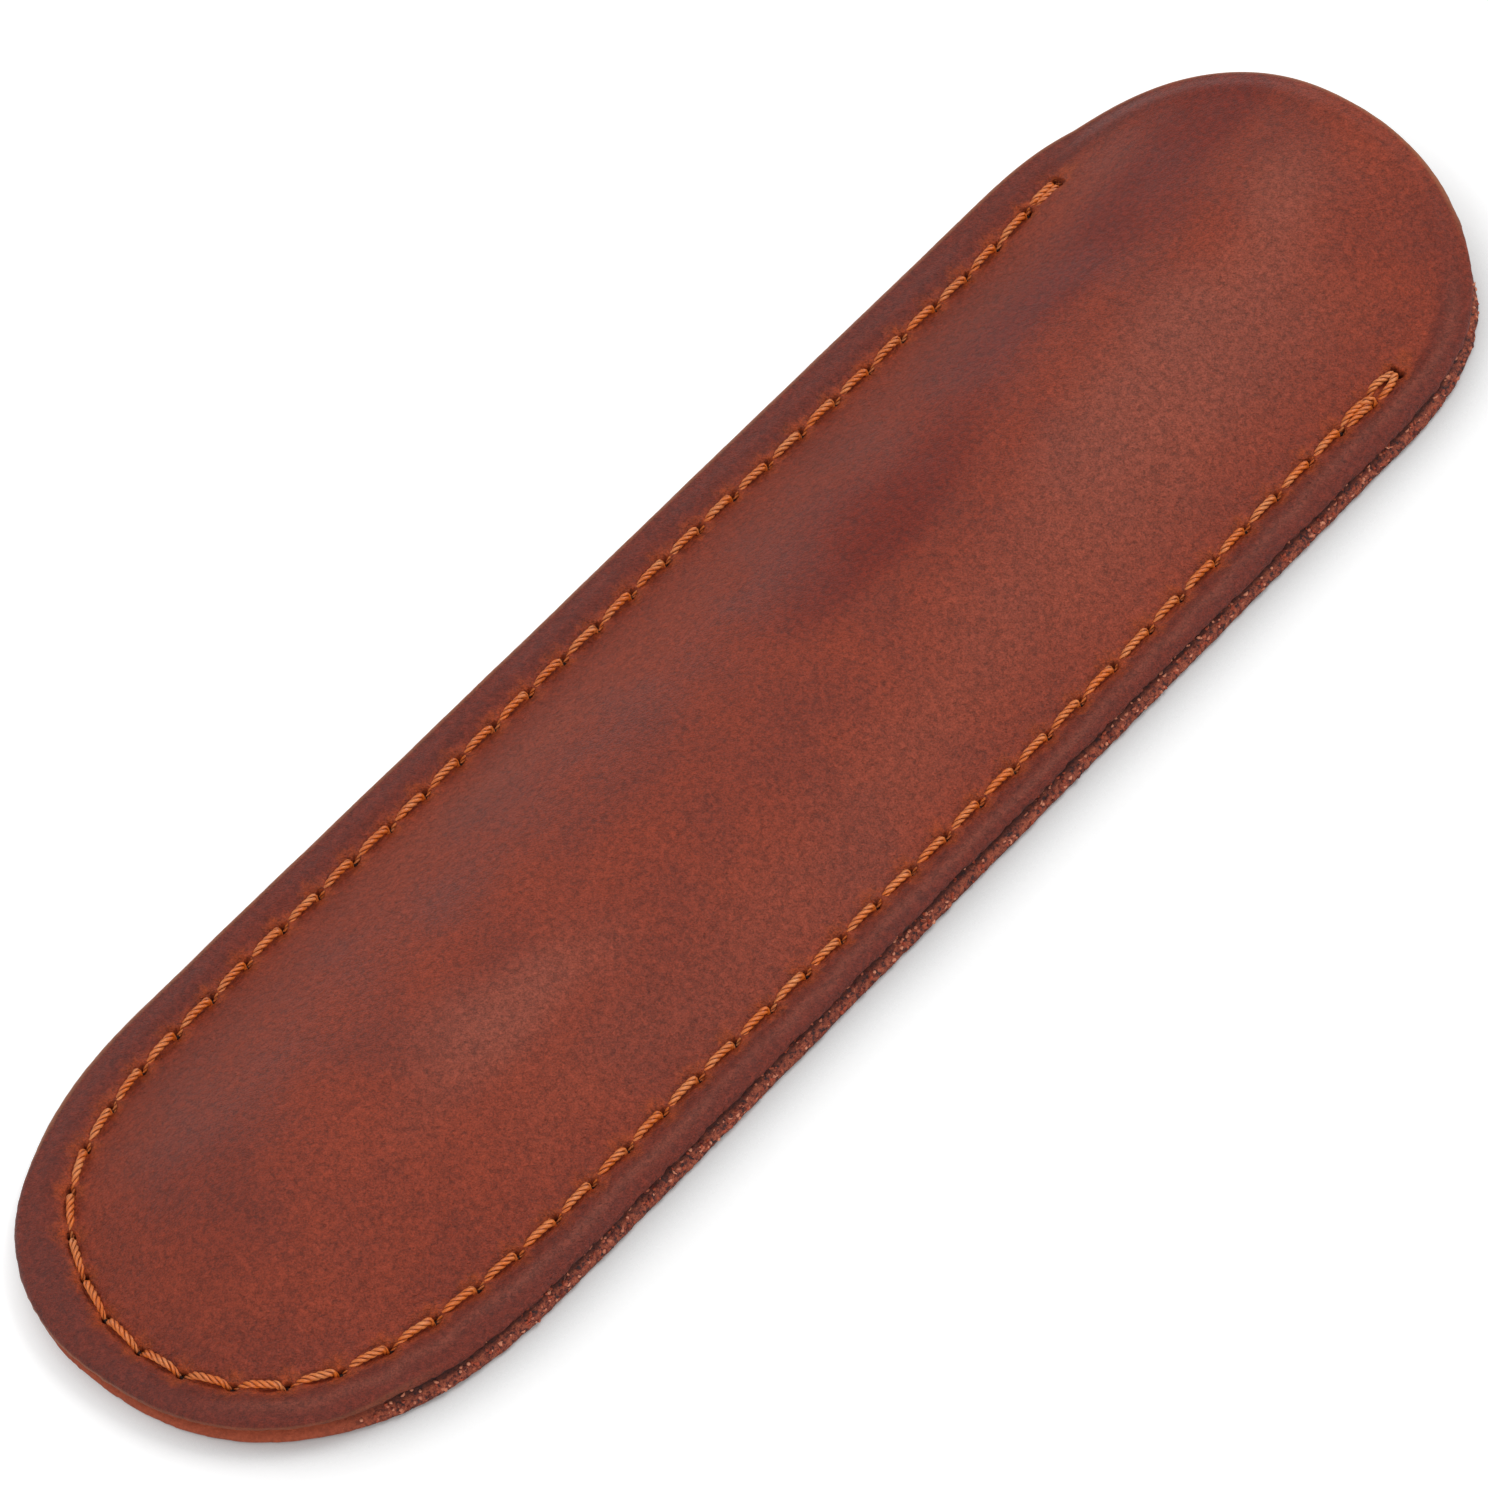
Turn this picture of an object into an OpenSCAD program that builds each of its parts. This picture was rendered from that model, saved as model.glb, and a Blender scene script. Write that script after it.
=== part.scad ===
// Pen sleeve: two leather panels with round ends, sewn together on three sides.
// The pocket's mouth is at +X, the sleeve lies on its back panel, and Z is up.
// Millimetres. The origin is under the middle of the sleeve, on the plane that it lies on.

/* [Panels] */
// Overall length, from the closed end to the mouth
sleeve_length = 150; // [120:1:190]
// Overall width
sleeve_width = 43; // [34:0.5:60]
// Thickness of the front panel's leather
front_thickness = 1.2; // [0.9:0.1:1.8]
// Thickness of the back panel's leather
back_thickness = 1.2; // [1:0.1:2]

/* [Pocket] */
// Height of the open space under the crown of the front panel
pocket_height = 6; // [5:0.25:9]
// How fast the crown rises from the seam: low is full, high is peaked
crown_peak = 1.25; // [1.1:0.05:2]

/* [Seam] */
// Distance from the cut edge to the line of stitch holes
seam_inset = 3.8; // [3:0.1:5.5]
// Distance from the tip of the mouth back to the first and last holes
seam_start = 15.9; // [12:0.1:30]
// Distance from one stitch hole to the next
stitch_pitch = 4.13; // [3:0.05:6]
// Diameter of a stitch hole
hole_d = 0.9; // [0.8:0.05:1.2]
// Stitches at each end of the seam that are sewn over again
backtack_stitches = 2; // [1:1:4]
// Sideways spread of the threads where the seam is sewn over
backtack_spread = 0.42; // [0.3:0.02:0.5]

/* [Thread] */
// Diameter of the thread along a stitch
thread_d = 0.6; // [0.45:0.05:0.65]
// Diameter of the thread where it goes down a hole
thread_hole_d = 0.7; // [0.66:0.02:0.76]
// Depth that the stitches press into the front panel
front_groove_depth = 0.2; // [0.1:0.05:0.4]
// Depth that the stitches press into the back panel
back_groove_depth = 0.65; // [0.6:0.05:0.75]
// Width of the pressed groove under the stitches
groove_width = 1.5; // [1.4:0.05:1.8]

/* [Colour] */
// Colour of the leather's face
leather_colour = "#83463a";
// Colour of the back panel's leather
back_colour = "#7a3f34";
// Colour of both threads
thread_colour = "#cc6a30";

/* [Hidden] */
$fn = 64;
// A cut is drawn this much past the face that it goes through
overcut = 1;
// A thread lies this much clear of the bottom of its groove
thread_clearance = 0.02;
// Share of the thread's diameter by which it passes the middle of a stitch before it turns down
leg_reach = 0.4;
// Flat strips across half of the crown
crown_steps = 20;

end_radius = sleeve_width / 2;
// Both round ends have their centre this far from the middle
end_centre = sleeve_length / 2 - end_radius;
seam_radius = end_radius - seam_inset;
// The crown starts just inside the stitch groove, so the holes are in flat leather
crown_radius = seam_radius - groove_width / 2;
joint_z = back_thickness;
land_z = back_thickness + front_thickness;

// The seam runs straight down one side, round the closed end and back up the other side
seam_top_x = sleeve_length / 2 - seam_start;
seam_straight = seam_top_x + end_centre;
seam_arc = PI * seam_radius;
seam_length = 2 * seam_straight + seam_arc;
stitch_count = round(seam_length / stitch_pitch);
stitch_step = seam_length / stitch_count;

// Height of the pocket's space at a distance from the crown line
function crown_height(r) =
    r >= crown_radius ? 0 : pocket_height * pow(1 - pow(r / crown_radius, 2), crown_peak);

// Place on the seam at a distance along it
function seam_place(s) =
    s <= seam_straight ? [seam_top_x - s, -seam_radius] :
    s <= seam_straight + seam_arc ? seam_arc_place((s - seam_straight) / seam_arc) :
    [-end_centre + (s - seam_straight - seam_arc), seam_radius];

// Place on the seam's round stretch, at a share of its length
function seam_arc_place(share) =
    [-end_centre - seam_radius * sin(180 * share), -seam_radius * cos(180 * share)];

// Centre of one stitch hole
function hole_place(i) = seam_place(i * stitch_step);

// The cut shape of both panels
module panel_outline() {
    square([2 * end_centre, sleeve_width], center = true);
    for (side = [-1, 1])
        translate([side * end_centre, 0]) circle(r = end_radius, $fn = 128);
}

// All stitch holes, through both panels
module stitch_holes() {
    for (i = [0 : stitch_count])
        translate([hole_place(i).x, hole_place(i).y, -overcut])
            cylinder(d = hole_d, h = land_z + 2 * overcut, $fn = 24);
}

// The band under the stitches, of one height
module seam_band(height) {
    end_run = groove_width / 2;
    for (side = [-1, 1])
        translate([-end_centre, side * seam_radius - groove_width / 2, 0])
            cube([seam_straight + end_run, groove_width, height]);
    translate([-end_centre, 0, 0])
        rotate([0, 0, 90])
            rotate_extrude(angle = 180, $fn = 128)
                translate([seam_radius - groove_width / 2, 0])
                    square([groove_width, height]);
}

// Half of the front panel's section, from the crown line out past its edge
module front_half_section() {
    radii = [for (i = [0 : crown_steps]) crown_radius * i / crown_steps];
    rim = end_radius + overcut;
    under = concat([for (r = radii) [r, joint_z + crown_height(r)]], [[rim, joint_z]]);
    over = concat([for (r = radii) [r, land_z + crown_height(r)]], [[rim, land_z]]);
    polygon(concat(under, [for (i = [len(over) - 1 : -1 : 0]) over[i]]));
}

// The crowned sheet before it is cut to its outline: a straight run and a round closed end
module front_blank() {
    run = end_centre + sleeve_length / 2 + overcut;
    translate([-end_centre, 0, 0])
        rotate([90, 0, 90])
            linear_extrude(run) {
                front_half_section();
                mirror([1, 0]) front_half_section();
            }
    translate([-end_centre, 0, 0])
        rotate([0, 0, 90])
            rotate_extrude(angle = 180, $fn = 128) front_half_section();
}

module front_panel() {
    color(leather_colour)
        difference() {
            intersection() {
                front_blank();
                linear_extrude(land_z + pocket_height + overcut) panel_outline();
            }
            stitch_holes();
            translate([0, 0, land_z - front_groove_depth]) seam_band(front_groove_depth + overcut);
        }
}

module back_panel() {
    color(back_colour)
        difference() {
            linear_extrude(back_thickness) panel_outline();
            stitch_holes();
            translate([0, 0, -overcut]) seam_band(back_groove_depth + overcut);
        }
}

// One stitch of thread between two holes, at a height and beside the seam's line
module stitch(i, z, beside) {
    from = hole_place(i);
    to = hole_place(i + 1);
    along = atan2(to.y - from.y, to.x - from.x);
    reach = norm(to - from);
    // Each end stops inside the thread that goes down the hole
    stop = thread_hole_d / 4;
    translate([from.x, from.y, z])
        rotate([0, 0, along])
            translate([stop, beside, 0])
                rotate([0, 90, 0])
                    cylinder(d = thread_d, h = reach - 2 * stop, $fn = 16);
}

// One thread of the seam: its stitches at one height, and its legs down to where the threads lock
module thread(z, lock_z) {
    bottom = min(z - leg_reach * thread_d, lock_z);
    top = max(z + leg_reach * thread_d, lock_z);
    for (i = [0 : stitch_count])
        translate([hole_place(i).x, hole_place(i).y, bottom])
            cylinder(d = thread_hole_d, h = top - bottom, $fn = 16);
    for (i = [0 : stitch_count - 1])
        if (i < backtack_stitches || i >= stitch_count - backtack_stitches) {
            for (side = [-0.5, 0.5]) stitch(i, z, side * backtack_spread);
        } else {
            stitch(i, z, 0);
        }
}

module top_thread() {
    z = land_z - front_groove_depth + thread_clearance + thread_d / 2;
    color(thread_colour) thread(z, joint_z);
}

module under_thread() {
    z = back_groove_depth - thread_clearance - thread_d / 2;
    color(thread_colour) thread(z, joint_z);
}

front_panel();
back_panel();
top_thread();
under_thread();
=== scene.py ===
import itertools
import math

import bpy
import numpy as np
from mathutils import Matrix, Vector, geometry


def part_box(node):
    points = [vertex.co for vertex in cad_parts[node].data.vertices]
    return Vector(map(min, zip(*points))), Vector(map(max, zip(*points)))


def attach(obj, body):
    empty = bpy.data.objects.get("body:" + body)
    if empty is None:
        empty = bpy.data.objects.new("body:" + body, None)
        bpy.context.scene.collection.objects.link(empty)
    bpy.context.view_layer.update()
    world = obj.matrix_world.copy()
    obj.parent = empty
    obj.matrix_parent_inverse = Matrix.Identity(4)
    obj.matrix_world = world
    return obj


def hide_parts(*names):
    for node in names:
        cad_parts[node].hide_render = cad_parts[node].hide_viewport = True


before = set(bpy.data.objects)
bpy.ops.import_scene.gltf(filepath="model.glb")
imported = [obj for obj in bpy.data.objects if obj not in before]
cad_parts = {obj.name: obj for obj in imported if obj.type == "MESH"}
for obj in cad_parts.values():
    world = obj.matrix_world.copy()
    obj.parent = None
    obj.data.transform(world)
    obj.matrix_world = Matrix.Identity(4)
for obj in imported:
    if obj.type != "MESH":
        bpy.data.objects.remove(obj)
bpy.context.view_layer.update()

# A sewn leather sleeve: a flat back panel, a crowned front panel and the two threads of one seam.
# Shapes are worked out in millimetres, with the mouth at +X and Z up, and meshes are written in metres.
MM = 0.001

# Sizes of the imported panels
front_low, front_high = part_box("front_panel")
LENGTH = (front_high.x - front_low.x) / MM
WIDTH = (front_high.y - front_low.y) / MM
JOINT_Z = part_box("back_panel")[1].z / MM
FRONT_THICKNESS = 1.2
LAND_Z = JOINT_Z + FRONT_THICKNESS
CROWN_HEIGHT = front_high.z / MM - LAND_Z
CROWN_PEAK = 1.25

# Both round ends are a little fuller than half circles
MOUTH_REACH = 22.0
MOUTH_POWER = 2.53
CLOSED_REACH = 27.4
CLOSED_POWER = 2.3
CLOSED_CENTRE = WIDTH / 2 - LENGTH / 2
# Points round a quarter of an end, and evenly round the whole outline
QUARTER_STEPS = 400
OUTLINE_POINTS = 6000

# The seam: where it starts near the mouth, its stitches, and how far it wanders from the cut edge
SEAM_TOP_X = 59.1
STITCH_PITCH = 4.12
SEAM_WANDER = (
    (0.0, 3.7), (0.035, 4.1), (0.1, 3.65), (0.16, 3.35), (0.22, 3.45), (0.3, 3.9), (0.35, 3.9), (0.395, 4.6),
    (0.445, 3.8), (0.485, 3.3), (0.507, 3.4), (0.537, 4.4), (0.57, 3.45), (0.62, 3.65), (0.665, 3.4),
    (0.72, 3.6), (0.84, 3.6), (0.91, 3.95), (0.96, 4.1), (1.0, 3.6),
)
# The wander is smoothed over about this many millimetres
WANDER_SMOOTH = 9
# Columns of a panel's mesh along each stitch and round the mouth, and how much they crowd near the holes
STITCH_COLUMNS = 18
MOUTH_COLUMNS = 190
HOLE_CROWDING = 0.45

# How far some holes lie from their even places, by hole number: further along the seam is positive
HOLE_SHIFTS = (
    (0, 0.57), (1, 0.1), (2, -0.39), (3, -0.49), (4, -0.4), (5, -0.45), (6, -0.56), (7, -0.26), (8, -0.44),
    (9, 0.0), (64, 0.0), (65, -0.18), (66, -0.34), (67, -0.33), (68, -0.59),
)
# Half length along the seam and half width across it of an open hole, and of the few wide ones by hole number
HOLE_OPENING = (0.38, 0.33)
WIDE_HOLES = {0: (0.36, 0.6), 1: (0.38, 0.45), 67: (0.42, 0.5), 68: (0.3, 0.7)}
# The open part of a hole lies on its mouth side
HOLE_OFFSET = 0.28

# The front panel is cut a little full, and lies a little towards the mouth and the +Y side
FRONT_SETBACK = -0.1
FRONT_SHIFT = (0.25, 0.33)
# The torn edge of the back panel stands out past its cut line, except round the closed end, where the front
# panel covers it. The cover starts and is full at these distances from the middle
BACK_OVERHANG = 0.25
CLOSED_COVER = 0.3
CLOSED_FROM = 62
CLOSED_BY = 70
# How rough the crest and the two cut edges are, against plain torn leather
CREST_ROUGHNESS = 1.2
FRONT_ROUGHNESS = 1.9
BACK_ROUGHNESS = 1.3
# Each panel keeps this much clear of the joint between them
JOINT_GAP = 0.02

# The front panel's rounded crest: its radius, and how far its rings have turned over, in degrees
CREST_RADIUS = 0.65
CREST_TURNS = (15, 30, 45, 60, 75, 87)
# How far the front panel's cut edge slopes back under the crest
UNDERCUT = 0.4
# The back panel's face ends this far in from its cut line
BACK_RIM = 0.35

# Rows of a panel's mesh from its edge inwards: the rim's, the fine band's on each side of the seam, and those
# from the band to the open field. The band ends and the field starts this far from the seam
RIM_ROWS = 7
BAND_ROWS = 10
INNER_ROWS = 6
SEAM_BAND = 1.3
FIELD_START = 3.1

# The crown starts this far inside the seam
CROWN_MARGIN = 0.7

# How much wider the crown gets beside the mouth, on the -Y side and on the +Y side
MOUTH_OPENING = (2.0, 4.4)
MOUTH_OPENS_FROM = 46.0
MOUTH_OPENS_BY = 73.0

# The thread: three strands laid to the right
STRAND_RADIUS = 0.15
LAY_RADIUS = 0.17
LAY_LENGTH = 1.8
STRAND_SIDES = 7
STITCH_RINGS = 44
# A stitch comes up slowly on its closed-end side and goes down steeply into the hole on its mouth side
SLOW_RISE = 2.3
STEEP_RISE = 0.4
# How slowly, against those two, a stitch that doesn't lean rises at each end
UPRIGHT = 0.2

# A distance that counts as nowhere near
FAR = 9.0

# A block of random grit, which the clouds are smoothed from
GRIT_SIDE = 64
GRIT = np.random.default_rng(41).uniform(-1, 1, (GRIT_SIDE,) * 3)


def cloud(points, size):
    """Smooth noise between -1 and 1, whose lumps are about this many millimetres across."""
    at = np.asarray(points, float) / size
    low = np.floor(at).astype(int)
    part = at - low
    part = part * part * (3 - 2 * part)
    total = 0.0
    for corner in itertools.product((0, 1), repeat=3):
        cell = (low + corner) % GRIT_SIDE
        weight = np.where(corner, part, 1 - part).prod(axis=-1)
        total = total + weight * GRIT[cell[..., 0], cell[..., 1], cell[..., 2]]
    return total


def smooth(value, low, high):
    """0 below low, 1 above high, and a soft step between."""
    t = np.clip((value - low) / (high - low), 0, 1)
    return t * t * (3 - 2 * t)


def bell(value, width):
    """1 at zero and softly down to 0 on both sides, with about this half width."""
    return np.exp(-((value / width) ** 2))


def raised(plan, z):
    """Plan points at a height."""
    return np.c_[plan, np.broadcast_to(z, len(plan))]


def run_along(line):
    """The distance along a line of points, at each of them."""
    return np.r_[0, np.cumsum(np.linalg.norm(np.diff(line, axis=0), axis=1))]


# The cut outline and the seam, in plan


def quarter(reach, power):
    """A quarter of a round end, from its tip round to the straight side."""
    turn = np.linspace(np.pi / 2, 0, QUARTER_STEPS)
    along = reach * np.sin(turn) ** (2 / power)
    across = WIDTH / 2 * np.cos(turn) ** (2 / power)
    return np.c_[along, across]


def cut_outline():
    """Evenly spaced points round a panel: from the mouth's tip down the -Y side and back up the +Y side."""
    mouth = quarter(MOUTH_REACH, MOUTH_POWER) + (LENGTH / 2 - MOUTH_REACH, 0)
    closed = quarter(CLOSED_REACH, CLOSED_POWER)[::-1] + (LENGTH / 2 - CLOSED_REACH, 0)
    half = np.r_[mouth * (1, -1), closed * (-1, -1)]
    loop = np.r_[half, half[-2::-1] * (1, -1)]
    run = run_along(loop)
    even = np.linspace(0, run[-1], OUTLINE_POINTS, endpoint=False)
    return np.c_[np.interp(even, run, loop[:, 0]), np.interp(even, run, loop[:, 1])]


OUTLINE = cut_outline()
OUTLINE_WAY = np.roll(OUTLINE, -1, 0) - np.roll(OUTLINE, 1, 0)
OUTLINE_WAY /= np.linalg.norm(OUTLINE_WAY, axis=1)[:, None]
OUTLINE_IN = np.c_[OUTLINE_WAY[:, 1], -OUTLINE_WAY[:, 0]]

SEWN = np.flatnonzero(OUTLINE[:, 0] < SEAM_TOP_X + 0.3)
SEAM_SHARE = np.clip((np.arange(OUTLINE_POINTS) - SEWN[0]) / (SEWN[-1] - SEWN[0]), 0, 1)


def seam_insets():
    """Distance of the seam from the cut edge, at each point of the outline."""
    share, inset = np.array(SEAM_WANDER).T
    plain = np.interp(SEAM_SHARE, share, inset)
    window = int(WANDER_SMOOTH / (2 * (LENGTH + WIDTH)) * OUTLINE_POINTS)
    padded = np.r_[plain[-window:], plain, plain[:window]]
    return np.convolve(padded, np.ones(window) / window, "same")[window:-window]


INSET = seam_insets()
SEAM = OUTLINE + OUTLINE_IN * INSET[:, None]
SEAM_RUN = run_along(SEAM[SEWN])
STITCHES = round(SEAM_RUN[-1] / STITCH_PITCH)
HOLE_NUMBERS = np.arange(STITCHES + 1)
HOLE_RUN = HOLE_NUMBERS * SEAM_RUN[-1] / STITCHES + np.interp(HOLE_NUMBERS, *np.array(HOLE_SHIFTS).T)


def crowded(share):
    """Places between 0 and 1, closer together near both ends."""
    return share - HOLE_CROWDING * np.sin(2 * np.pi * share) / (2 * np.pi)


def lay_columns():
    """Places round the outline for a panel mesh's columns, with the nearest hole and the way past it."""
    share = crowded(np.arange(STITCH_COLUMNS) / STITCH_COLUMNS)
    stitches = (np.arange(STITCHES)[:, None] + share).ravel()
    run = np.interp(stitches, HOLE_NUMBERS, HOLE_RUN)
    nearest = np.round(stitches).astype(int)
    sewn = np.interp(run, SEAM_RUN, SEWN)
    first, last = np.interp(HOLE_RUN[[0, -1]], SEAM_RUN, SEWN)
    gap = first + OUTLINE_POINTS - last
    free = last + gap * crowded(np.arange(MOUTH_COLUMNS) / MOUTH_COLUMNS)
    spacing = np.linalg.norm(OUTLINE[1] - OUTLINE[0])
    after_last = (free - last) * spacing
    before_first = gap * spacing - after_last
    ends = after_last < before_first
    past = np.where(ends, after_last, -before_first)
    holes = np.r_[nearest, np.where(ends, STITCHES, 0)]
    return np.r_[sewn, free], holes, np.r_[run - HOLE_RUN[nearest], past]


COLUMN_AT, NEAR_HOLE, PAST_HOLE = lay_columns()
COLUMNS = len(COLUMN_AT)


def closed_share(plan):
    """1 round the closed end and 0 along the sides."""
    return smooth(-plan[:, 0], CLOSED_FROM, CLOSED_BY)


def at_columns(values):
    """Values known round the outline, read at the columns."""
    doubled = np.concatenate([values, values])
    places = np.arange(len(doubled))
    if values.ndim == 1:
        return np.interp(COLUMN_AT, places, doubled)
    return np.stack([np.interp(COLUMN_AT, places, doubled[:, i]) for i in range(values.shape[1])], 1)


EDGE_POINT = at_columns(OUTLINE)
EDGE_IN = at_columns(OUTLINE_IN)
EDGE_IN /= np.linalg.norm(EDGE_IN, axis=1)[:, None]
COLUMN_INSET = at_columns(INSET)
SEWN_COLUMN = np.arange(COLUMNS) <= STITCHES * STITCH_COLUMNS
# How much the way round leads towards the mouth at each column, and the opening of its nearest hole
WAY_TO_MOUTH = at_columns(OUTLINE_WAY[:, 0])
OPENING = np.array([WIDE_HOLES.get(hole, HOLE_OPENING) for hole in NEAR_HOLE])
# Where the front panel's edge lies in from the cut line, and how the creases of the nearest hole are turned
FRONT_EDGE = FRONT_SETBACK + EDGE_IN @ np.array(FRONT_SHIFT) - CLOSED_COVER * closed_share(EDGE_POINT)
CREASE_TURN = np.random.default_rng(5).uniform(0, 2 * np.pi, STITCHES + 1)[NEAR_HOLE]


def seam_place(run):
    """Points on the seam's line, at distances along it."""
    return np.stack([np.interp(run, SEAM_RUN, SEAM[SEWN, i]) for i in (0, 1)], -1)


# The crown of the front panel


def seam_reach(x, y):
    """How far the line that holds the front panel down lies from the middle, in each point's direction."""
    line = SEAM[SEWN]
    reach = np.zeros(np.shape(x))
    for side in (-1, 1):
        flank = line[(line[:, 1] * side > 0) & (line[:, 0] > CLOSED_CENTRE - 1)]
        order = np.argsort(flank[:, 0])
        here = np.interp(x, flank[order, 0], np.abs(flank[order, 1]))
        reach = np.where(np.sign(y) == side, here, reach)
    reach = np.where(y == 0, here, reach)
    opening = np.where(y < 0, *MOUTH_OPENING)
    reach = reach + opening * smooth(x, MOUTH_OPENS_FROM, MOUTH_OPENS_BY)
    closed = line[line[:, 0] < CLOSED_CENTRE]
    turn = np.arctan2(closed[:, 1], CLOSED_CENTRE - closed[:, 0])
    order = np.argsort(turn)
    round_reach = np.hypot(closed[:, 0] - CLOSED_CENTRE, closed[:, 1])
    heading = np.arctan2(y, CLOSED_CENTRE - x)
    return np.where(x < CLOSED_CENTRE, np.interp(heading, turn[order], round_reach[order]), reach)


def crown(x, y):
    """Height of the front panel above its sewn rim."""
    from_middle = np.where(x < CLOSED_CENTRE, np.hypot(x - CLOSED_CENTRE, y), np.abs(y))
    share = np.clip(from_middle / (seam_reach(x, y) - CROWN_MARGIN), 0, 1)
    return CROWN_HEIGHT * (1 - share**2) ** CROWN_PEAK


# Mesh helpers


def rings_to_faces(ring_count, columns):
    """Quads between neighbouring rings, each ring a closed row of columns."""
    start = np.arange(columns)
    after = np.roll(start, -1)
    upper = np.arange(ring_count - 1)[:, None] * columns
    lower = upper + columns
    return np.stack([upper + start, upper + after, lower + after, lower + start], -1).reshape(-1, 4)


def inside(points, loop):
    """Which points lie inside a closed loop."""
    x, y = points[:, :1], points[:, 1:]
    a, b = loop, np.roll(loop, -1, 0)
    spans = (a[:, 1] > y) != (b[:, 1] > y)
    with np.errstate(divide="ignore", invalid="ignore"):
        crossing = (b[:, 0] - a[:, 0]) * (y - a[:, 1]) / (b[:, 1] - a[:, 1]) + a[:, 0]
    return (spans & (x < crossing)).sum(1) % 2 == 1


def field_mesh(loop, spacing):
    """Even triangles inside a loop. The first points are the loop's own."""
    across = spacing * math.sqrt(3) / 2
    rows = np.arange(-WIDTH / 2, WIDTH / 2, across)
    steps = np.arange(-LENGTH / 2, LENGTH / 2, spacing)
    grid = np.array([(x + spacing / 2 * (k % 2), y) for k, y in enumerate(rows) for x in steps])
    grid = grid[inside(grid, loop)]
    gap = np.array([np.hypot(*(loop - p).T).min() for p in grid])
    grid = grid[gap > spacing * 0.6]
    points = np.r_[loop, grid]
    edges = [(i, (i + 1) % len(loop)) for i in range(len(loop))]
    made = geometry.delaunay_2d_cdt([Vector(p) for p in points], edges, [], 1, 1e-6)
    return points, np.array(made[2])


def placed(name, data):
    """A new object in the scene."""
    made = bpy.data.objects.new(name, data)
    bpy.context.scene.collection.objects.link(made)
    return made


def build(name, points, faces, face_materials, materials, **marks):
    """A smooth mesh object from points in millimetres. marks are named values kept at each point."""
    mesh = bpy.data.meshes.new(name)
    mesh.from_pydata((np.asarray(points) * MM).tolist(), [], [list(f) for f in faces])
    for material in materials:
        mesh.materials.append(material)
    mesh.polygons.foreach_set("material_index", np.asarray(face_materials, np.int32))
    for mark, values in marks.items():
        values = np.asarray(values, np.float32)
        kind = "FLOAT" if values.ndim == 1 else "FLOAT_VECTOR"
        attribute = mesh.attributes.new(mark, kind, "POINT")
        attribute.data.foreach_set("value" if values.ndim == 1 else "vector", values.ravel())
    mesh.shade_smooth()
    mesh.update()
    return placed(name, mesh)


# The panels


def across_rows(start):
    """Distances in from the cut edge of a panel's rows, from start on, each at every column."""
    rim = np.linspace(0, 1, RIM_ROWS + 1)[:-1]
    band = np.arange(-SEAM_BAND, SEAM_BAND + 0.01, SEAM_BAND / BAND_ROWS)
    inner = np.linspace(SEAM_BAND, FIELD_START, INNER_ROWS + 1)[1:]
    rows = [start + share * (COLUMN_INSET - SEAM_BAND - start) for share in rim]
    return rows + [COLUMN_INSET + across for across in np.r_[band, inner]]


def hole_distance(across):
    """Distance from the nearest stitch hole, for a row at this distance across the seam."""
    return np.hypot(PAST_HOLE, across)


def hole_depth(across):
    """1 in the middle of a hole's opening and 0 outside it."""
    along = PAST_HOLE - HOLE_OFFSET * WAY_TO_MOUTH
    return 1 - smooth(np.hypot(along / OPENING[:, 0], across / OPENING[:, 1]), 0.55, 1.2)


def thread_groove(across, cover):
    """The groove under the thread. cover is how far the leather closes over a stitch beside its hole."""
    closed = cover * bell(PAST_HOLE * WAY_TO_MOUTH - 0.9, 0.6)
    groove = bell(across, 0.5) + 0.35 * bell(across, 1.3)
    return groove * (1 - closed) * SEWN_COLUMN


def creases(across):
    """Short creases that run out from each hole."""
    away = hole_distance(across)
    turn = np.arctan2(across, PAST_HOLE) + CREASE_TURN
    spokes = np.sin(7 * turn) + 0.7 * np.sin(11 * turn + 1)
    return spokes * smooth(away, 0.3, 0.7) * (1 - smooth(away, 0.8, 1.8))


def plan_point(inward):
    """The plan place of each column at a distance in from the cut edge."""
    return EDGE_POINT + EDGE_IN * np.broadcast_to(inward, COLUMNS)[:, None]


def field_swell(plan):
    """The slow unevenness of the hide."""
    flat = raised(plan, 0)
    return 0.06 * cloud(flat, 9.0) + 0.02 * cloud(flat, 3.5)


def front_grain_z(plan, across):
    """Height of the front panel's face at one row."""
    rim_swell = 0.26 * bell(across + 1.9, 1.0)
    pucker = 0.05 * cloud(raised(plan, 5), 0.8) * bell(across, 1.4) * SEWN_COLUMN
    pulled = 0.24 * thread_groove(across, 0.85) + 0.24 * bell(hole_distance(across), 0.75)
    relief = pulled + 1.1 * hole_depth(across) - 0.022 * creases(across)
    return LAND_Z + crown(*plan.T) + rim_swell + pucker - relief + field_swell(plan)


# Marks kept at each point of a panel, and what they are on plain leather, away from the seam and the edge
MARKS = ("wear_and_highlight", "from_seam", "from_hole", "painted_hollow_shade")
PLAIN_MARKS = (0.0, FAR, FAR, 0.0)


def face_marks(across):
    """A face's marks at one row: no wear, distances from the seam and nearest hole, and painted shade in
    holes.
    """
    return 0.0, across, hole_distance(across), hole_depth(across)


def crest_marks(turn):
    """The crest's marks. Its light line round both ends and the +Y side is part wear, part painted highlight.
    """
    x, y = EDGE_POINT.T
    hidden = smooth(-y, 10, 16) * smooth(x, -72, -58)
    closed = smooth(-x, 60, 68)
    start = 0.1 + 0.9 * closed
    wear_and_highlight = smooth(turn, start, start + 0.3) * (1 - hidden) * (1 - 0.5 * closed * smooth(-y, -4, 6))
    return wear_and_highlight, -COLUMN_INSET, hole_distance(-COLUMN_INSET), 0.0


def wall_marks(painted_hollow_shade):
    """A cut edge's marks. It is burnished round the closed end, where little of its painted shade is kept."""
    polish = closed_share(EDGE_POINT)
    return polish, FAR, FAR, painted_hollow_shade * (1 - 0.9 * polish)


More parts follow.
